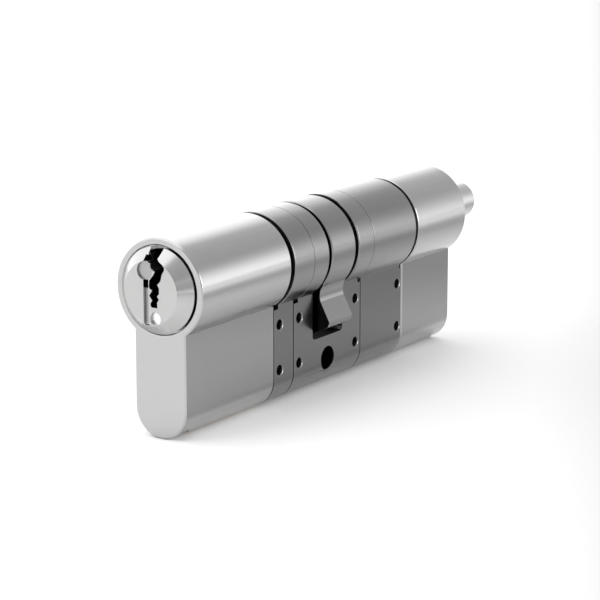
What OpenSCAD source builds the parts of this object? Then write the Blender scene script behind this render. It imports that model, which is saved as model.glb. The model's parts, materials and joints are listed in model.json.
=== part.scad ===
// Modular Euro profile lock cylinder: key side at -X, knob spindle at +X, +Z up.
// The origin is the centre of the fixing screw hole. Every height inside a module
// is counted from the axis that the plug and the cam turn about, axis_h above it.

/* [Profile] */
// Diameter of the round part of the profile
round_d = 17; // [16.8:0.05:17.2]
// Width of the flange below the round part
flange_w = 10; // [9.8:0.05:10.2]
// Height of the whole profile
profile_h = 33; // [32.6:0.1:33.4]
// Height of the turning axis above the fixing screw hole
axis_h = 19.2; // [19:0.1:19.4]
// Core diameter of the fixing screw's thread
fixing_d = 4.2; // [4:0.1:4.4]

/* [Modules] */
// Length of the key side body
front_l = 25.1; // [24.5:0.1:30]
// Length of the short extension
short_l = 6; // [6:0.5:8]
// Length of the bridge on the key side of the fixing screw
bridge_key_l = 10.8; // [10.8:0.1:12]
// Length of the bridge on the knob side of the fixing screw
bridge_knob_l = 10.7; // [10.5:0.1:12]
// Length of the long extension
long_l = 14.4; // [14:0.1:20]
// Length of the knob side body
rear_l = 17.4; // [17:0.1:25]
// How far the key side rings stand towards the cam from their own flanges
ring_shift_key = 1.45; // [1.4:0.05:1.6]
// The same for the knob side rings
ring_shift_knob = 0.9; // [0.9:0.05:1.1]
// Chamfer around the two outer ends
end_chamfer = 0.25; // [0.2:0.05:0.5]
// Chamfer at the seams between modules
seam_chamfer = 0.3; // [0.2:0.05:0.35]
// Chamfer of the rings that face the two wide grooves
ring_chamfer = 0.1; // [0.05:0.05:0.3]

/* [Joint pins] */
// Diameter of the roll pins that hold the modules together
roll_d = 1.7; // [1.6:0.1:2]
// Height of the upper pins below the axis
roll_high = 10.3; // [10.2:0.1:10.6]
// Height of the lower pins below the axis
roll_low = 18.2; // [18:0.1:18.4]

/* [Cam] */
// Width of the cam
cam_w = 7.45; // [7.3:0.05:7.5]
// Width of the slot that the cam turns in
slot_w = 9.6; // [9.4:0.1:9.8]
// Radius at the tip of the cam's lobe
lobe_r = 14.75; // [14.65:0.05:14.8]
// Thickness of the lobe at its thickest, just inside the tip
lobe_t = 4.65; // [4.4:0.05:5]
// Angle by which each flank of the lobe opens outwards
lobe_flare = 3.5; // [0:0.5:5]
// Radius of the fillet between the ring and the lobe
lobe_fillet = 3.2; // [2:0.2:3.6]
// Angle of the lobe from straight down, towards -Y
lobe_angle = 24; // [0:1:60]

/* [Plug] */
// Diameter of the plug where it turns in the bodies
plug_d = 13; // [12.8:0.1:13]
// Diameter of the plug's head
head_d = 14.2; // [14:0.1:14.3]
// How far the plug's nose stands out of the key side body
nose_out = 2.2; // [2:0.1:2.4]
// Sideways offset of the keyway's foot and the pins
pin_side = 0.55; // [0.4:0.05:0.7]

/* [Pin stacks] */
// Number of pin stacks
stacks = 6;
// Distance from one pin stack to the next
stack_pitch = 3.5; // [3.4:0.05:3.5]
// Diameter of the key pins and driver pins
pin_d = 2.44; // [2.4:0.01:2.46]
// Length of a driver pin
driver_l = 4.5; // [4.2:0.1:4.8]

/* [Knob spindle] */
// Diameter of the knob spindle
spindle_d = 6.8; // [6.6:0.1:8]
// Length of the spindle outside the knob side body
spindle_l = 13; // [10:0.5:14]

/* [Hidden] */
$fn = 96;

round_r = round_d / 2;
flange_h = profile_h - round_r - flange_w / 2; // from the axis down to the flange's end radius
front_x = -(front_l + short_l + bridge_key_l);
seam1_x = front_x + front_l;
seam2_x = -bridge_key_l;
seam3_x = bridge_knob_l;
seam4_x = seam3_x + long_l;
rear_x = seam4_x + rear_l;

run_gap = 0.05;      // running clearance on a radius or beside a tongue
ring_clear = 0.55;   // between a ring and the flange of the module below it
ring_gap = 0.12;     // slit where two rings meet
ring_edge = 0.05;    // chamfer on each side of that slit
slot_edge = 0.2;     // chamfer of the bridge's rings at the cam slot
lip = 0.15;          // how far the key side body's ring passes its flange
step = 0.01;         // makes a cut run past the face it starts from
plug_r = plug_d / 2;
bore_r = plug_r + run_gap;
head_r = head_d / 2;
head_depth = 1.2;    // depth of the counterbore for a head
head_gap = 0.2;      // visible gap around a head
mouth_chamfer = 0.15;
nose_x = front_x - nose_out;
nose_r = head_r - nose_out + 0.25; // the 45 degree cone starts 0.25 outside the face

tongue_l = 3.7;
tongue_t = 4;
tongue_top = 8.95;
tongue_low = 20.6;
roll_in_key = 1.85;  // from a seam to its pins, on the key side of the cam
roll_in_knob = 1.6;  // the same on the knob side
roll_l = 7.6;
roll_wall = 0.25;
roll_slit = 0.3;
hole_chamfer = 0.13;
hidden_chamfer = 0.1; // at the end of a flange that faces the next module on the knob side

slot_low = 15.15;    // bottom of the cam slot below the axis
slot_corner = 0.8;
cam_x0 = -3.85;
cam_x1 = cam_x0 + cam_w;

clip_r = 7.9;
clip_t = 0.7;
clip_groove_r = 5.6;
clip_gap = 0.1;      // between a clip and the body it bears on
plug_end_x = seam1_x + 2.4;
link_gap = 0.1;      // end play between turning parts
key_t = 2.9;         // thickness of every driving tongue
key_half = 5.5;
link_slot = 2.1;

// Cam interior, from the key side to the knob side
lug_r = 7.55;
lug_t = 2.8;
free_x0 = cam_x0 + 0.75;   // the wide ring where the coupler's lugs turn freely
free_x1 = -0.9;
coupler_x0 = -0.8;
coupler_x1 = 1.2;
coupler_travel = 2.2;
coupler_tongue = 4.2;
coupler_r = 6.4;
cup_r = 2.7;
cup_depth = 1.5;
bar_x0 = 2.25;
bar_x1 = 3.5;
push_r = 1;
front_link_end = -3.2;
rear_link_x1 = seam4_x - 3.1;

first_stack_x = front_x + 5.2;
stack_x = [for (i = [0 : stacks - 1]) first_stack_x + i * stack_pitch];
chamber_r = pin_d / 2 + 0.08;
chamber_top = 1.9;
shear_play = 0.25;
key_pin_top = [-1.1, 0.1, -1.5, -0.5, 0.3, -1.2]; // tips above the axis, one per cut of the key
driver_top = -bore_r;
spring_low = -21.5;
spring_top = driver_top - driver_l - 0.05;

spring_mid_r = 0.92;
spring_wire_r = 0.17;
spring_sides = 6;
spring_steps = 10;   // rings of the mesh in one turn of wire
drill_pin_r = 1;
drill_pin_x = front_x + 2.4;
drill_pin_y = 2.6;

// Half outline of the keyway in the plug's face: [towards -Y, up], from the axis
keyway_right = [[1.4, 7.6], [1.2, 5.9], [1.1, 5.5], [1.5, 5.15], [2.3, 4.7], [2.7, 4.3],
    [2.7, 3.9], [2.25, 3.2], [1.95, 2.1], [1.3, 1.4], [1.65, 0.9], [1.65, 0], [1.25, -0.45],
    [1.6, -0.95], [1.25, -1.45], [1.3, -2.35]];
keyway_left = [[0.2, -2.35], [-0.05, -2.1], [-0.05, -1.7], [0.3, -1.2], [-0.3, -0.5],
    [0.3, 0.4], [-0.25, 0.7], [-0.32, 1], [-0.25, 1.95], [0.5, 2.85], [0.9, 3.5],
    [-0.05, 3.65], [-0.3, 4.1], [-0.35, 4.8], [-0.6, 5.4], [-1.05, 6.1], [-1.3, 7.6]];
keyway_end_x = plug_end_x - 1.9;
pusher_x0 = keyway_end_x + 0.9; // front end of the pusher, in the keyway's end

nose_slot_y = 0.42;
nose_slot_w = 1;
nose_slot_z0 = -5.4;
nose_slot_z1 = 5.9;
nose_slot_depth = 1.6;
plate_top = 0.6;
plate_down = 0.5;
low_pin = [-0.85, -4.15, 1.05];   // y, z and radius
high_pin = [1.15, 3.45, 1.5];
low_pin_down = 0.5;
high_pin_down = 0.4;
nose_pin_l = 4.6;

nickel = [0.80, 0.80, 0.79];
dark_nickel = [0.58, 0.58, 0.58];
brass = [0.80, 0.66, 0.36];
steel = [0.68, 0.69, 0.71];
spring_steel = [0.55, 0.56, 0.58];

// Places a shape drawn on Z so that it starts at x and runs along +X
module along_x(x) {
    translate([x, 0, axis_h]) rotate([90, 0, 90]) children();
}

module rod(x0, x1, r) {
    along_x(x0) cylinder(h = x1 - x0, r = r);
}

module cone(x0, x1, r0, r1) {
    along_x(x0) cylinder(h = x1 - x0, r1 = r0, r2 = r1);
}

module block(x0, x1, y0, y1, z0, z1) {
    translate([x0, y0, axis_h + z0]) cube([x1 - x0, y1 - y0, z1 - z0]);
}

// Rod with a chamfer at each end
module turned(x0, x1, r, c0, c1) {
    along_x(x0) rotate_extrude()
        polygon([[0, 0], [r - c0, 0], [r, c0], [r, x1 - x0 - c1], [r - c1, x1 - x0], [0, x1 - x0]]);
}

// Flange from the axis down, with a chamfer at each end
module flange(x0, x1, c0, c1) {
    w = flange_w / 2;
    translate([0, 0, axis_h - flange_h]) linear_extrude(height = flange_h)
        polygon([[x0, w - c0], [x0 + c0, w], [x1 - c1, w], [x1, w - c1],
            [x1, c1 - w], [x1 - c1, -w], [x0 + c0, -w], [x0, c0 - w]]);
    translate([0, 0, -flange_h]) turned(x0, x1, w, c0, c1);
}

// Stub that plugs into the next module: side is 1 towards +X, -1 towards -X
module tongue(x, side) {
    root = 2;
    x0 = side > 0 ? x - root : x - tongue_l;
    x1 = side > 0 ? x + tongue_l : x + root;
    block(x0, x1, -tongue_t / 2, tongue_t / 2, -tongue_low, -tongue_top);
}

// Socket for a neighbour's tongue
module socket(x, side) {
    deep = tongue_l + 0.1;
    x0 = side > 0 ? x - step : x - deep;
    x1 = side > 0 ? x + deep : x + step;
    w = tongue_t / 2 + run_gap;
    block(x0, x1, -w, w, -tongue_low - run_gap, -round_r);
}

// Clearance over a flange for the ring of the next module
module ring_relief(x0, x1) {
    rod(x0, x1, round_r + ring_clear);
}

module cross_rod(x, z, r, l) {
    translate([x, l / 2, axis_h + z]) rotate([90, 0, 0]) cylinder(h = l, r = r);
}

// The two pin holes of one joint, with a chamfer on each side of the flange
module joint_holes(x) {
    hole_r = roll_d / 2 + 0.02;
    for (z = [-roll_high, -roll_low]) {
        cross_rod(x, z, hole_r, flange_w + 1);
        for (s = [-1, 1])
            translate([x, s * (flange_w / 2 - hole_chamfer), axis_h + z]) rotate([-90 * s, 0, 0])
                cylinder(h = hole_chamfer + step, r1 = hole_r, r2 = hole_r + hole_chamfer + step);
    }
}

joint_x = [seam1_x + roll_in_key, seam2_x + roll_in_key, seam3_x - roll_in_knob,
    seam4_x - roll_in_knob];

module stack_holes(r, z0, z1) {
    for (x = stack_x) translate([x, -pin_side, axis_h + z0]) cylinder(h = z1 - z0, r = r);
}

module drill_pin_rods(r, z0, z1) {
    for (s = [-1, 1])
        translate([drill_pin_x, s * drill_pin_y, axis_h + z0]) cylinder(h = z1 - z0, r = r);
}

module front_body() {
    color(nickel) difference() {
        union() {
            turned(front_x, seam1_x + lip, round_r, end_chamfer, 0.1);
            flange(front_x, seam1_x, end_chamfer, hidden_chamfer);
            tongue(seam1_x, 1);
        }
        rod(front_x - 1, seam1_x + 1, bore_r);
        rod(front_x - 1, front_x + head_depth, head_r + head_gap);
        cone(front_x - step, front_x + mouth_chamfer, head_r + head_gap + mouth_chamfer + step,
            head_r + head_gap);
        stack_holes(chamber_r, -profile_h, -plug_r + 1);
        drill_pin_rods(drill_pin_r + 0.02, -profile_h, -11);
        joint_holes(joint_x[0]);
    }
}

module short_extension() {
    color(dark_nickel) difference() {
        union() {
            turned(seam1_x + ring_shift_key, seam2_x + ring_shift_key - ring_gap / 2, round_r,
                ring_chamfer, ring_edge);
            difference() {
                flange(seam1_x, seam2_x, seam_chamfer, hidden_chamfer);
                ring_relief(seam1_x - 1, seam1_x + ring_shift_key);
            }
            tongue(seam2_x, 1);
        }
        rod(seam1_x - 1, seam2_x + ring_shift_key + 1, bore_r);
        socket(seam1_x, 1);
        joint_holes(joint_x[0]);
        joint_holes(joint_x[1]);
    }
}

module bridge() {
    half = slot_w / 2;
    color(dark_nickel) difference() {
        union() {
            turned(seam2_x + ring_shift_key + ring_gap / 2, -half, round_r, ring_edge, slot_edge);
            turned(half, seam3_x - ring_shift_knob - ring_gap / 2, round_r, slot_edge, ring_edge);
            difference() {
                flange(seam2_x, seam3_x, seam_chamfer, hidden_chamfer);
                ring_relief(seam2_x - 1, seam2_x + ring_shift_key);
                ring_relief(seam3_x - ring_shift_knob, seam3_x + 1);
            }
        }
        rod(seam2_x - 1, seam3_x + 1, bore_r);
        socket(seam2_x, 1);
        socket(seam3_x, -1);
        block(-half, half, -round_r - 1, round_r + 1, slot_corner - slot_low, round_r + 1);
        block(slot_corner - half, half - slot_corner, -round_r - 1, round_r + 1, -slot_low,
            slot_corner + 1 - slot_low);
        for (s = [-1, 1])
            cross_rod(s * (half - slot_corner), slot_corner - slot_low, slot_corner, round_d + 2);
        cross_rod(0, -axis_h, fixing_d / 2, flange_w + 1);
        joint_holes(joint_x[1]);
        joint_holes(joint_x[2]);
    }
}

module long_extension() {
    color(dark_nickel) difference() {
        union() {
            turned(seam3_x - ring_shift_knob + ring_gap / 2, seam4_x - ring_shift_knob, round_r,
                ring_edge, ring_chamfer);
            difference() {
                flange(seam3_x, seam4_x, seam_chamfer, seam_chamfer);
                ring_relief(seam4_x - ring_shift_knob, seam4_x + 1);
            }
            tongue(seam3_x, -1);
        }
        rod(seam3_x - ring_shift_knob - 1, seam4_x + 1, bore_r);
        socket(seam4_x, -1);
        joint_holes(joint_x[2]);
        joint_holes(joint_x[3]);
    }
}

module rear_body() {
    color(nickel) difference() {
        union() {
            turned(seam4_x, rear_x, round_r, ring_chamfer, end_chamfer);
            flange(seam4_x, rear_x, seam_chamfer, end_chamfer);
            tongue(seam4_x, -1);
        }
        rod(seam4_x - 1, rear_x + 1, bore_r);
        rod(rear_x - head_depth, rear_x + 1, head_r + head_gap);
        cone(rear_x - mouth_chamfer, rear_x + step, head_r + head_gap,
            head_r + head_gap + mouth_chamfer + step);
        joint_holes(joint_x[3]);
    }
}

module joint_pins() {
    r = roll_d / 2;
    color(steel) for (x = joint_x, z = [-roll_high, -roll_low]) difference() {
        cross_rod(x, z, r, roll_l);
        cross_rod(x, z, r - roll_wall, roll_l + 1);
        block(x - roll_slit / 2, x + roll_slit / 2, -roll_l, roll_l, z - r - 1, z);
    }
}

// Stoppers pressed into the chambers, trimmed to just inside the flange's end radius
module chamber_plugs() {
    color(brass) intersection() {
        stack_holes(chamber_r - 0.02, -profile_h, spring_low - 0.05);
        translate([0, 0, -flange_h]) rod(front_x, seam1_x, flange_w / 2 - 0.1);
    }
}

module body_drill_pins() {
    color(spring_steel) intersection() {
        drill_pin_rods(drill_pin_r, -profile_h, -11.1);
        translate([0, 0, -flange_h]) union() {
            rod(front_x, seam1_x, flange_w / 2 - 0.1);
            block(front_x, seam1_x, -4.8, 4.8, 0, flange_h);
        }
    }
}

module keyway() {
    points = concat(keyway_right, keyway_left);
    along_x(nose_x - 1) linear_extrude(height = keyway_end_x - nose_x + 1)
        polygon([for (p = points) [-p[0], p[1]]]);
}

// Tongue across the axis that drives the next turning part
module drive_tongue(x0, x1) {
    block(x0, x1, -key_t / 2, key_t / 2, -key_half, key_half);
}

module drive_slot(x0, x1) {
    w = key_t / 2 + run_gap;
    block(x0, x1, -w, w, -plug_d, plug_d);
}

module clip_groove(x0) {
    difference() {
        rod(x0 - run_gap, x0 + clip_t + run_gap, plug_r + 1);
        rod(x0 - run_gap, x0 + clip_t + run_gap, clip_groove_r);
    }
}

// Snap ring with its gap towards +Z
module snap_ring(x0) {
    gap = 2 * clip_groove_r - 2.4;
    difference() {
        rod(x0, x0 + clip_t, clip_r);
        rod(x0 - 1, x0 + clip_t + 1, clip_groove_r + run_gap);
        block(x0 - 1, x0 + clip_t + 1, -gap / 2, gap / 2, 0, clip_r + 1);
    }
}

plug_clip_x = seam1_x + lip + clip_gap;
spindle_clip_x = seam4_x - clip_gap - clip_t;

module plug() {
    color(nickel) difference() {
        union() {
            rod(front_x + head_depth, plug_end_x, plug_r);
            rod(front_x - 0.25, front_x + head_depth - run_gap, head_r);
            rod(front_x, front_x + 2, plug_r);
            cone(nose_x, front_x - 0.25, nose_r, head_r);
            drive_tongue(plug_end_x - 1, plug_end_x + link_slot);
        }
        keyway();
        stack_holes(chamber_r, -round_r, chamber_top);
        clip_groove(plug_clip_x);
        rod(pusher_x0 - coupler_travel - 0.1, plug_end_x + link_slot + 1, push_r + run_gap);
        block(nose_x - 1, nose_x + nose_slot_depth, nose_slot_y, nose_slot_y + nose_slot_w,
            nose_slot_z0, nose_slot_z1);
        nose_hole(low_pin, 0.02);
        nose_hole(high_pin, 0.02);
    }
}

module nose_hole(pin, gap) {
    translate([0, pin[0], pin[1]]) rod(nose_x - 1, nose_x + pin[2] + nose_pin_l, pin[2] + gap);
}

module nose_plate() {
    color(spring_steel) block(nose_x + plate_down, nose_x + nose_slot_depth, nose_slot_y + 0.02,
        nose_slot_y + nose_slot_w - 0.02, nose_slot_z0 + 0.1, plate_top);
}

module nose_pin_low() {
    color(steel) translate([0, low_pin[0], low_pin[1]])
        rod(nose_x + low_pin_down, nose_x + low_pin[2] + nose_pin_l - 0.1, low_pin[2]);
}

module nose_pin_high() {
    color(spring_steel) difference() {
        translate([0, high_pin[0], high_pin[1]])
            rod(nose_x + high_pin_down, nose_x + high_pin[2] + nose_pin_l - 0.1, high_pin[2]);
        keyway();
    }
}

module plug_clip() {
    color(spring_steel) snap_ring(plug_clip_x);
}

module spindle_clip() {
    color(spring_steel) snap_ring(spindle_clip_x);
}

module front_link() {
    x0 = plug_end_x + link_gap;
    color(steel) difference() {
        rod(x0, front_link_end, plug_r);
        drive_slot(x0 - 1, x0 + link_slot);
        drive_slot(coupler_x0 - coupler_tongue - coupler_travel - 0.8, front_link_end + 1);
        rod(x0 - 1, front_link_end + 1, push_r + run_gap);
    }
}

// Key pin n, standing at the shear line as a matching key would lift it
module key_pin(n) {
    low = -plug_r + shear_play;
    top = key_pin_top[n - 1];
    tip = 0.8;
    color(brass) translate([stack_x[n - 1], -pin_side, axis_h + low]) {
        cylinder(h = top - low - tip, r = pin_d / 2);
        translate([0, 0, top - low - tip]) cylinder(h = tip, r1 = pin_d / 2, r2 = pin_d / 2 - tip);
    }
}

module driver_pin(n) {
    color(steel) translate([stack_x[n - 1], -pin_side, axis_h + driver_top - driver_l])
        cylinder(h = driver_l, r = pin_d / 2);
}

// Helix of round wire about Z, from z0 to z1, with a flat cap at each end
module helix(mid_r, wire_r, z0, z1, turns) {
    rings = turns * spring_steps;
    m = spring_sides;
    rise = (z1 - z0 - 2 * wire_r) / rings;
    points = [for (i = [0 : rings], j = [0 : m - 1])
        let (a = 360 * i / spring_steps, b = 360 * j / m, r = mid_r + wire_r * cos(b))
        [r * cos(a), r * sin(a), z0 + wire_r + rise * i + wire_r * sin(b)]];
    walls = [for (i = [0 : rings - 1], j = [0 : m - 1])
        let (p = i * m + j, q = i * m + (j + 1) % m) each [[p, q, q + m], [p, q + m, p + m]]];
    first = [for (j = [m - 1 : -1 : 0]) j];
    last = [for (j = [0 : m - 1]) rings * m + j];
    polyhedron(points, concat([first, last], walls), convexity = 10);
}

module spring(n) {
    color(spring_steel) translate([stack_x[n - 1], -pin_side, axis_h])
        helix(spring_mid_r, spring_wire_r, spring_low, spring_top, 8);
}

// Lobe of the cam, drawn straight down, with its tip on an arc about the axis
module lobe() {
    lean = tan(lobe_flare);
    wide = lobe_t / 2;
    wide_at = lobe_r - 0.75; // distance from the axis to the thickest place
    root = wide - lean * (wide_at - plug_r);
    bite = 0.04; // lets each fillet cross its two faces, so that no faces only touch
    base = wide - lean * wide_at + (lobe_fillet - bite) / cos(lobe_flare);
    reach = round_r + lobe_fillet - bite;
    down = (sqrt(reach ^ 2 * (1 + lean ^ 2) - base ^ 2) - base * lean) / (1 + lean ^ 2);
    out = base + lean * down;
    along_x(cam_x0) rotate([0, 0, -lobe_angle]) linear_extrude(height = cam_w) {
        intersection() {
            circle(r = lobe_r);
            polygon([[-root, -plug_r], [-wide, -wide_at], [1 - wide, -wide_at - 1],
                [wide - 1, -wide_at - 1], [wide, -wide_at], [root, -plug_r]]);
        }
        difference() {
            polygon([[0, 0], [-out, -down], [out, -down]]);
            for (s = [-1, 1]) translate([s * out, -down]) circle(r = lobe_fillet);
        }
    }
}

module cam() {
    color(dark_nickel) difference() {
        union() {
            turned(cam_x0, cam_x1, round_r, 0.2, 0.2);
            lobe();
        }
        rod(cam_x0 - 1, cam_x1 + 1, bore_r);
        rod(free_x0, free_x1, lug_r + link_gap);
        intersection() {
            rod(free_x0, cam_x1 + 1, lug_r + link_gap);
            block(free_x0, cam_x1 + 1, -lug_t / 2 - run_gap, lug_t / 2 + run_gap, -round_r, round_r);
        }
    }
}

module lugs(x0, x1) {
    intersection() {
        rod(x0, x1, lug_r);
        block(x0, x1, -lug_t / 2, lug_t / 2, -round_r, round_r);
    }
}

module coupler() {
    color(steel) difference() {
        union() {
            rod(coupler_x0, coupler_x1, coupler_r);
            lugs(coupler_x0, coupler_x1);
            drive_tongue(coupler_x0 - coupler_tongue, coupler_x0 + 0.5);
        }
        rod(coupler_x1 - cup_depth, coupler_x1 + 1, cup_r);
    }
}

module pusher() {
    color(brass) rod(pusher_x0, coupler_x0 - coupler_tongue - 0.02, push_r);
}

module coupler_spring() {
    color(spring_steel) translate([0, 0, axis_h]) rotate([0, 90, 0])
        helix(2.2, 0.2, coupler_x1 - cup_depth + 0.05, bar_x0 - 0.05, 4);
}

module drive_key() {
    color(steel) lugs(bar_x0, bar_x1);
}

module rear_link() {
    x0 = bar_x0 - 0.05;
    color(steel) difference() {
        rod(x0, rear_link_x1, plug_r);
        drive_slot(x0 - 1, bar_x1 + run_gap);
        drive_slot(rear_link_x1 - link_slot, rear_link_x1 + 1);
    }
}

module knob_spindle() {
    x0 = rear_link_x1 + link_gap;
    color(nickel) difference() {
        union() {
            drive_tongue(x0 - link_slot, x0 + 1);
            rod(x0, rear_x, plug_r);
            rod(rear_x - head_depth + run_gap, rear_x, head_r);
            turned(rear_x - 2, rear_x + spindle_l, spindle_d / 2, 0, 0.5);
        }
        clip_groove(spindle_clip_x);
    }
}

front_body();
short_extension();
bridge();
long_extension();
rear_body();
joint_pins();
chamber_plugs();
body_drill_pins();
plug();
nose_plate();
nose_pin_low();
nose_pin_high();
plug_clip();
front_link();
key_pin(1);  // key_pin_1
key_pin(2);  // key_pin_2
key_pin(3);  // key_pin_3
key_pin(4);  // key_pin_4
key_pin(5);  // key_pin_5
key_pin(6);  // key_pin_6
driver_pin(1);  // driver_pin_1
driver_pin(2);  // driver_pin_2
driver_pin(3);  // driver_pin_3
driver_pin(4);  // driver_pin_4
driver_pin(5);  // driver_pin_5
driver_pin(6);  // driver_pin_6
spring(1);  // spring_1
spring(2);  // spring_2
spring(3);  // spring_3
spring(4);  // spring_4
spring(5);  // spring_5
spring(6);  // spring_6
cam();
coupler();
pusher();
coupler_spring();
drive_key();
rear_link();
knob_spindle();
spindle_clip();
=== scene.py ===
"""Looks of the modular Euro profile lock cylinder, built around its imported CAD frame."""
import json
import math

import bmesh
import bpy
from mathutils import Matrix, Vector


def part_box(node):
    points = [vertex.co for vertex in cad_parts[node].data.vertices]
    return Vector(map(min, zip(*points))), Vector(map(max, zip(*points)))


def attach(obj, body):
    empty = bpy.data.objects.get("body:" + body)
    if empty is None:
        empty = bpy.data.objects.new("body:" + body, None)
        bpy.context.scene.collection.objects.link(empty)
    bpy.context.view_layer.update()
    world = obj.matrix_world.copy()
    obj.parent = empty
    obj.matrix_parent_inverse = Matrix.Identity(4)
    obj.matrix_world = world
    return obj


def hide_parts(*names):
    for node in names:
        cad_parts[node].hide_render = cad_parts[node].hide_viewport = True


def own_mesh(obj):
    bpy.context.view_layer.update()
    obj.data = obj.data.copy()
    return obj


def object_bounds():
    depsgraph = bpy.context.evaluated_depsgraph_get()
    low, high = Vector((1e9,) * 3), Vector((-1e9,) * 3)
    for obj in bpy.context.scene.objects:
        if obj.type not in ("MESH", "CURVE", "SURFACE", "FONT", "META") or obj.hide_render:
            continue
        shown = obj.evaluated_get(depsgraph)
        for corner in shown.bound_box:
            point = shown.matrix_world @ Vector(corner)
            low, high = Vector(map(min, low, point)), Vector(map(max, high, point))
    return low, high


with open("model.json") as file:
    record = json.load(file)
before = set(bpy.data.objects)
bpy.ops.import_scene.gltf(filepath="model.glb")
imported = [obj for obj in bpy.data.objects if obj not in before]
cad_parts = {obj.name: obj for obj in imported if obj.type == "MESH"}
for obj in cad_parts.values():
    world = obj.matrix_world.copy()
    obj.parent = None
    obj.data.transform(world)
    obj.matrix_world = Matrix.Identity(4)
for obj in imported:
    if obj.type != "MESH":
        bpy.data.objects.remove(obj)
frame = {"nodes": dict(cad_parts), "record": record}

cad_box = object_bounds()

MM = 0.001
AXIS_H = 19.2 * MM      # turning axis above the fixing screw hole
NOSE_X = cad_box[0].x   # face of the plug's nose
NOSE_R = 5.15 * MM      # radius of that face, where the cone starts
RING_LOW = 12.3 * MM    # where the flange's sides meet the rings
SEAMS = (-16.8 * MM, -10.8 * MM, 10.7 * MM)     # joints where shade is painted on the flanges

# ---------------------------------------------------------------- studio
CAMERA_AT = Vector((-0.32020, -0.20880, 0.09639))
CAMERA_YAW = 56.80      # from +Y towards +X
CAMERA_PITCH = -12.78
LENS = 134.8
FLOOR_HALF = 3.0
FLOOR_TONE = 0.9
SHADE_STREAK_AT = (0, -0.056, 0)      # a point on the line where the floor's painted grey shade starts
SHADE_STREAK_TURN = -64.4             # direction in which it gets greyer, from +X


def add_object(name, mesh):
    piece = bpy.data.objects.new(name, mesh)
    bpy.context.scene.collection.objects.link(piece)
    return piece


def make_camera():
    data = bpy.data.cameras.new("camera")
    data.lens = LENS
    data.sensor_width = 36
    data.clip_start = 0.01
    data.clip_end = 20
    camera = add_object("camera", data)
    camera.location = CAMERA_AT
    camera.rotation_euler = (math.radians(90 + CAMERA_PITCH), 0, -math.radians(CAMERA_YAW))
    bpy.context.scene.camera = camera


def area_light(name, at, size, power):
    """Soft rectangular light that faces the origin."""
    data = bpy.data.lights.new(name, "AREA")
    data.shape = "RECTANGLE"
    data.size, data.size_y = size
    data.energy = power
    lamp = add_object(name, data)
    lamp.location = at
    lamp.rotation_euler = (-Vector(at)).to_track_quat("-Z", "Y").to_euler()


# ---------------------------------------------------------------- node helpers
def node_tree(owner):
    owner.use_nodes = True
    return owner.node_tree


def maths(tree, operation, *values):
    """Math node on sockets and numbers."""
    node = tree.nodes.new("ShaderNodeMath")
    node.operation = operation
    for socket, value in zip(node.inputs, values):
        if isinstance(value, bpy.types.NodeSocket):
            tree.links.new(value, socket)
        else:
            socket.default_value = value
    return node.outputs[0]


def vector_maths(tree, operation, vector, other=(0, 0, 0), output="Vector"):
    node = tree.nodes.new("ShaderNodeVectorMath")
    node.operation = operation
    node.inputs[1].default_value = other
    tree.links.new(vector, node.inputs[0])
    return node.outputs[output]


def mix(tree, blend, first, second):
    """Full colour blend of two sockets."""
    node = tree.nodes.new("ShaderNodeMix")
    node.data_type = "RGBA"
    node.blend_type = blend
    node.inputs["Factor"].default_value = 1
    tree.links.new(first, node.inputs[6])
    tree.links.new(second, node.inputs[7])
    return node.outputs[2]


def map_range(tree, value, low=0, high=1, start=0, end=1, smooth=False):
    """Carries low..high of a value over to start..end."""
    node = tree.nodes.new("ShaderNodeMapRange")
    node.interpolation_type = "SMOOTHSTEP" if smooth else "LINEAR"
    node.inputs["From Min"].default_value = low
    node.inputs["From Max"].default_value = high
    node.inputs["To Min"].default_value = start
    node.inputs["To Max"].default_value = end
    tree.links.new(value, node.inputs["Value"])
    return node.outputs[0]


def step(tree, value, low, high):
    """0 below low and 1 above high, or the other way round, with a soft change between."""
    return map_range(tree, value, low, high, smooth=True)


def value_ramp(tree, value, stops):
    """Grey tone for a value from 0 to 1, through (value, tone) stops."""
    node = tree.nodes.new("ShaderNodeValToRGB")
    elements = node.color_ramp.elements
    while len(elements) < len(stops):
        elements.new(0.5)
    for element, (at, tone) in zip(elements, stops):
        element.position = at
        element.color = (tone, tone, tone, 1)
    tree.links.new(value, node.inputs[0])
    return node.outputs[0]


def texture_coordinate(tree, kind):
    return tree.nodes.new("ShaderNodeTexCoord").outputs[kind]


def split(tree, vector):
    """X, Y and Z of a vector."""
    node = tree.nodes.new("ShaderNodeSeparateXYZ")
    tree.links.new(vector, node.inputs[0])
    return node.outputs["X"], node.outputs["Y"], node.outputs["Z"]


def place(tree):
    """X, Y and Z of the shaded point in the shared frame."""
    return split(tree, texture_coordinate(tree, "Object"))


def distance_to_axis(tree, middle, across):
    """Distance from a straight axis through middle; across drops the part along the axis."""
    offset = vector_maths(tree, "SUBTRACT", texture_coordinate(tree, "Object"), middle)
    flat = vector_maths(tree, "MULTIPLY", offset, across)
    return vector_maths(tree, "LENGTH", flat, output="Value")


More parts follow.
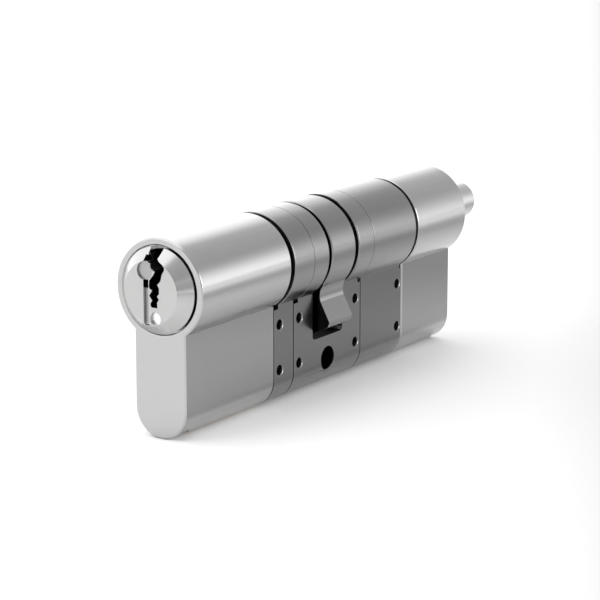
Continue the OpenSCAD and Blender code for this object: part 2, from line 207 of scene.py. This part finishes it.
# ---------------------------------------------------------------- floor and sky
def make_floor():
    """Pale floor with painted shade: a little greyer to the right, with a soft grey streak beyond
    the picture that darkens the floor seen in the metal's reflections.
    """
    low = cad_box[0].z
    far = FLOOR_HALF
    mesh = bpy.data.meshes.new("floor")
    corners = [(-far, -far, low), (far, -far, low), (far, far, low), (-far, far, low)]
    mesh.from_pydata(corners, [], [(0, 1, 2, 3)])
    material = bpy.data.materials.new("pale_floor")
    tree = node_tree(material)
    shader = tree.nodes["Principled BSDF"]
    shader.inputs["Roughness"].default_value = 0.8
    shader.inputs["Specular IOR Level"].default_value = 0.1

    turn = tree.nodes.new("ShaderNodeMapping")
    turn.vector_type = "TEXTURE"
    turn.inputs["Location"].default_value = SHADE_STREAK_AT
    turn.inputs["Rotation"].default_value = (0, 0, math.radians(SHADE_STREAK_TURN))
    tree.links.new(texture_coordinate(tree, "Object"), turn.inputs["Vector"])
    to_the_right = split(tree, turn.outputs[0])[0]
    # Painted shade: the floor's tone falls to grey towards the right and beyond the picture
    reach = map_range(tree, to_the_right, low=-0.06, high=0.14)
    tone = value_ramp(tree, reach, [(0.0, FLOOR_TONE), (0.25, 0.72), (0.34, 0.58), (0.44, 0.44),
                                    (0.6, 0.46), (0.95, FLOOR_TONE)])
    tree.links.new(tone, shader.inputs["Base Color"])
    mesh.materials.append(material)
    add_object("floor", mesh)


def make_world():
    """Bright sky behind and above, a grey one in front, and a pale band along the horizon."""
    world = bpy.data.worlds.new("studio")
    bpy.context.scene.world = world
    tree = node_tree(world)
    direction = texture_coordinate(tree, "Generated")
    across, upward = split(tree, direction)[1:]

    up_and_back = vector_maths(tree, "DOT_PRODUCT", direction, (0, 0.375, 0.33), output="Value")
    sky = value_ramp(tree, maths(tree, "ADD", up_and_back, 0.5),
                     [(0.30, 0.40), (0.66, 0.53), (0.73, 0.60), (0.765, 0.95), (0.795, 1.34),
                      (0.9, 1.4), (1.0, 1.28)])
    band = value_ramp(tree, upward,
                      [(0.0, 0.95), (0.10, 0.85), (0.22, 0.6), (0.33, 0.28), (0.42, 0.0)])
    # The band is strongest straight behind the object and to the right of it
    share = value_ramp(tree, maths(tree, "MULTIPLY_ADD", across, 0.5, 0.5),
                       [(0.12, 0.0), (0.19, 1.45), (0.25, 0.55), (0.35, 0.3), (0.5, 0.5),
                        (0.65, 1.0), (0.8, 1.0), (0.97, 0.0)])
    light = mix(tree, "ADD", sky, mix(tree, "MULTIPLY", band, share))
    background = tree.nodes["Background"]
    tree.links.new(light, background.inputs["Color"])
    background.inputs["Strength"].default_value = 1.4


# ---------------------------------------------------------------- materials
GRAIN = 0.03            # how far roughness wanders
BUMP = 0.02
ALONG = (0.08, 1, 1)    # streaks along the cylinder
AROUND = (1, 0.12, 0.12)


def metal(name, colour, roughness, streak=(1, 1, 1), shade_mask=None, dark=0.1, painted_side_shade=1):
    """Metal whose roughness and tone wander a little over fine streaks.

    The shade mask builds a value that is 1 where shade is painted into the metal's colour, down
    to the dark tone, and 0 elsewhere.
    The side shade is the tone of the flange's flat sides, darkened as painted shade, as a share
    of the rest.
    """
    material = bpy.data.materials.new(name + "_finish")
    tree = node_tree(material)
    shader = tree.nodes["Principled BSDF"]
    shader.inputs["Metallic"].default_value = 1

    stretch = tree.nodes.new("ShaderNodeMapping")
    stretch.inputs["Scale"].default_value = streak
    tree.links.new(texture_coordinate(tree, "Object"), stretch.inputs["Vector"])
    noise = tree.nodes.new("ShaderNodeTexNoise")
    noise.inputs["Scale"].default_value = 2500
    noise.inputs["Detail"].default_value = 3
    tree.links.new(stretch.outputs[0], noise.inputs["Vector"])
    grain = noise.outputs["Fac"]

    rough = map_range(tree, grain, start=roughness - GRAIN, end=roughness + GRAIN)
    tree.links.new(rough, shader.inputs["Roughness"])

    shade = map_range(tree, grain, start=0.96, end=1.04)
    # Painted shade from the mask: in recesses, slots, joints and on end faces
    if shade_mask:
        shade = maths(tree, "MULTIPLY", shade, map_range(tree, shade_mask(tree), start=1, end=dark))
    # Painted shade: the flange's flat sides are made darker
    if painted_side_shade < 1:
        sides = map_range(tree, shaded_flange_sides(tree), start=1, end=painted_side_shade)
        shade = maths(tree, "MULTIPLY", shade, sides)
    tint = tree.nodes.new("ShaderNodeVectorMath")
    tint.operation = "SCALE"
    tint.inputs[0].default_value = colour
    tree.links.new(shade, tint.inputs["Scale"])
    tree.links.new(tint.outputs[0], shader.inputs["Base Color"])

    relief = tree.nodes.new("ShaderNodeBump")
    relief.inputs["Strength"].default_value = BUMP
    relief.inputs["Distance"].default_value = 0.02 * MM
    tree.links.new(grain, relief.inputs["Height"])
    tree.links.new(relief.outputs[0], shader.inputs["Normal"])
    return material


def shaded_flange_sides(tree):
    """The flat sides of the flange below the rings, where painted shade darkens the tone to stand
    in for their darker reflections.
    """
    normal = tree.nodes.new("ShaderNodeNewGeometry").outputs["Normal"]
    flat = step(tree, maths(tree, "ABSOLUTE", split(tree, normal)[1]), 0.95, 1.0)
    below = step(tree, place(tree)[2], RING_LOW + 0.3 * MM, RING_LOW)
    return maths(tree, "MULTIPLY", flat, below)


def shade_in_the_plug(tree):
    """Painted shade inside the keyway and the slots of the nose, behind its face and its cone."""
    along = place(tree)[0]
    radius = distance_to_axis(tree, (0, 0, AXIS_H), (0, 1, 1))
    depth = maths(tree, "SUBTRACT", along, maths(tree, "MAXIMUM", radius, NOSE_R))
    face = NOSE_X - NOSE_R
    behind = step(tree, depth, face + 0.2 * MM, face + 0.9 * MM)
    inside = step(tree, radius, 6.45 * MM, 6.35 * MM)
    return maths(tree, "MULTIPLY", behind, inside)


def shade_at_the_seams(tree):
    """Painted shade in the joints between the modules' flanges, below the rings, where the gap's
    shadow falls.
    """
    along, _, height = place(tree)
    lines = 0.0
    for seam in SEAMS:
        after = step(tree, along, seam - 0.03 * MM, seam - 0.01 * MM)
        before = step(tree, along, seam + 0.28 * MM, seam + 0.24 * MM)
        lines = maths(tree, "MAXIMUM", lines, maths(tree, "MULTIPLY", after, before))
    below = step(tree, height, RING_LOW + 0.1 * MM, RING_LOW)
    return maths(tree, "MULTIPLY", lines, below)


def shade_in_the_modules(tree):
    """Painted shade in the fixing screw hole and in the cam slot, behind their rims, and in the
    joints.
    """
    along, across, height = place(tree)
    off = maths(tree, "ABSOLUTE", across)
    hole = maths(tree, "MULTIPLY", step(tree, off, 4.8 * MM, 4.3 * MM),
                 step(tree, distance_to_axis(tree, (0, 0, 0), (1, 0, 1)), 2.6 * MM, 2.4 * MM))
    slot = maths(tree, "MULTIPLY", step(tree, off, 4.9 * MM, 3.6 * MM),
                 step(tree, maths(tree, "ABSOLUTE", along), 5.0 * MM, 4.9 * MM))
    slot = maths(tree, "MULTIPLY", slot, step(tree, height, 3.8 * MM, 3.9 * MM))
    return maths(tree, "MAXIMUM", maths(tree, "MAXIMUM", hole, slot), shade_at_the_seams(tree))


def shade_in_the_roll_pins(tree):
    """Painted shade inside the rolled pins of the flange, behind their ends; the nose's pin gets
    none.
    """
    along, across, _ = place(tree)
    behind = step(tree, maths(tree, "ABSOLUTE", across), 4.9 * MM, 4.7 * MM)
    past_the_nose = step(tree, along, NOSE_X + 10 * MM, NOSE_X + 11 * MM)
    return maths(tree, "MULTIPLY", behind, past_the_nose)


def shaded_end_faces(tree):
    """Painted shade on faces square to the cylinder's length."""
    normal = tree.nodes.new("ShaderNodeNewGeometry").outputs["Normal"]
    return step(tree, maths(tree, "ABSOLUTE", split(tree, normal)[0]), 0.8, 0.95)


# Several finishes carry painted shade, through their shade masks and the flange sides' tone
FINISHES = {
    "satin_nickel": metal("satin_nickel", (0.45, 0.45, 0.448), 0.18, ALONG, painted_side_shade=0.68),
    "plug_nickel": metal("plug_nickel", (0.46, 0.46, 0.457), 0.18, AROUND, shade_in_the_plug, 0.03),
    "dark_nickel": metal("dark_nickel", (0.265, 0.265, 0.265), 0.25, ALONG, shade_in_the_modules,
                         painted_side_shade=0.64),
    "cam_steel": metal("cam_steel", (0.265, 0.265, 0.265), 0.25, shade_mask=shaded_end_faces, dark=0.06),
    "spindle_steel": metal("spindle_steel", (0.55, 0.55, 0.55), 0.26, AROUND),
    "turned_steel": metal("turned_steel", (0.5, 0.5, 0.51), 0.3, AROUND),
    "hard_steel": metal("hard_steel", (0.34, 0.34, 0.345), 0.35),
    "pin_steel": metal("pin_steel", (0.75, 0.75, 0.75), 0.25, shade_mask=shade_in_the_roll_pins, dark=0.03),
    "spring_steel": metal("spring_steel", (0.10, 0.10, 0.105), 0.35),
    "brass": metal("brass", (0.75, 0.58, 0.27), 0.3, AROUND),
}

# ---------------------------------------------------------------- pieces
BODY_OF = {node: body for body, members in frame["record"]["behaviour"]["bodies"].items()
           for node in members}
SLOT_OF = {name: node.data.materials[0].name for name, node in frame["nodes"].items()}

# Width of the rounded edges of each refined part, in mm
EDGES = {"front_body": 0.04, "short_extension": 0.05, "bridge": 0.02, "long_extension": 0.03,
         "rear_body": 0.05, "knob_spindle": 0.05}

STACKS = 6
SPRING_WIRE = 0.17 * MM     # radius of the wire
SPRING_TURNS = 8


def set_smooth(mesh):
    for face in mesh.polygons:
        face.use_smooth = True


def stand_in(piece, node):
    """piece takes a CAD node's place, body and material."""
    piece.data.materials.clear()
    piece.data.materials.append(FINISHES[SLOT_OF[node]])
    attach(piece, BODY_OF[node])
    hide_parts(node)


def refined(node, width):
    """Copy of a CAD node with its hard edges rounded by a small real bevel."""
    bm = bmesh.new()
    bm.from_mesh(frame["nodes"][node].data)
    bmesh.ops.remove_doubles(bm, verts=bm.verts, dist=0.001 * MM)
    bmesh.ops.dissolve_limit(bm, angle_limit=math.radians(0.5), verts=bm.verts, edges=bm.edges)
    mesh = bpy.data.meshes.new(node + "_mesh")
    bm.to_mesh(mesh)
    bm.free()
    set_smooth(mesh)
    piece = add_object(node + "_round", mesh)
    bevel = piece.modifiers.new("edges", "BEVEL")
    bevel.width = width
    bevel.segments = 2
    bevel.limit_method = "ANGLE"
    bevel.angle_limit = math.radians(28)
    bevel.use_clamp_overlap = False
    bevel.harden_normals = True
    bevel.miter_outer = "MITER_ARC"
    weigh = piece.modifiers.new("normals", "WEIGHTED_NORMAL")
    weigh.mode = "FACE_AREA"
    weigh.weight = 100
    done = piece.evaluated_get(bpy.context.evaluated_depsgraph_get())
    solid = bpy.data.meshes.new_from_object(done)
    piece.modifiers.clear()
    piece.data = solid
    return piece


def helix(name, middle, radius, low, high, wire, turns):
    """Spring of round wire about Z; its first and last turns lie close."""
    steps = 28
    sides = 12
    count = steps * turns
    close = 2.1 * wire
    open_rise = (high - low - 2 * wire - 2 * close) / (turns - 2)
    points = []
    faces = []
    height = low + wire
    for i in range(count + 1):
        angle = 2 * math.pi * i / steps
        for j in range(sides):
            around = 2 * math.pi * j / sides
            out = radius + wire * math.cos(around)
            points.append((middle.x + out * math.cos(angle), middle.y + out * math.sin(angle),
                           height + wire * math.sin(around)))
        at_end = i < steps or i >= count - steps
        height += (close if at_end else open_rise) / steps
    for i in range(count):
        for j in range(sides):
            a = i * sides + j
            b = i * sides + (j + 1) % sides
            faces.append((a, a + sides, b + sides, b))
    faces.append(tuple(range(sides)))
    faces.append(tuple(count * sides + j for j in reversed(range(sides))))
    mesh = bpy.data.meshes.new(name)
    mesh.from_pydata(points, [], faces)
    set_smooth(mesh)
    return add_object(name, mesh)


def driver_spring(number):
    """Spring under a driver pin, which presses it flat as it drops."""
    node = f"spring_{number}"
    low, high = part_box(node)
    middle = (low + high) / 2
    radius = (high.x - low.x) / 2 - SPRING_WIRE
    piece = helix(node + "_round", middle, radius, low.z, high.z, SPRING_WIRE, SPRING_TURNS)
    stand_in(piece, node)
    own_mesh(piece)


make_camera()
make_floor()
make_world()
area_light("front_fill", (0.15, -0.9, 1.2), (0.8, 0.8), 0.9)
area_light("low_fill", (0, -1.15, 0.32), (0.8, 0.5), 9)
bpy.context.scene.view_settings.view_transform = "Standard"

for name, width in EDGES.items():
    stand_in(refined(name, width * MM), name)
for number in range(1, STACKS + 1):
    driver_spring(number)
for name, node in frame["nodes"].items():
    node.material_slots[0].material = FINISHES[SLOT_OF[name]]
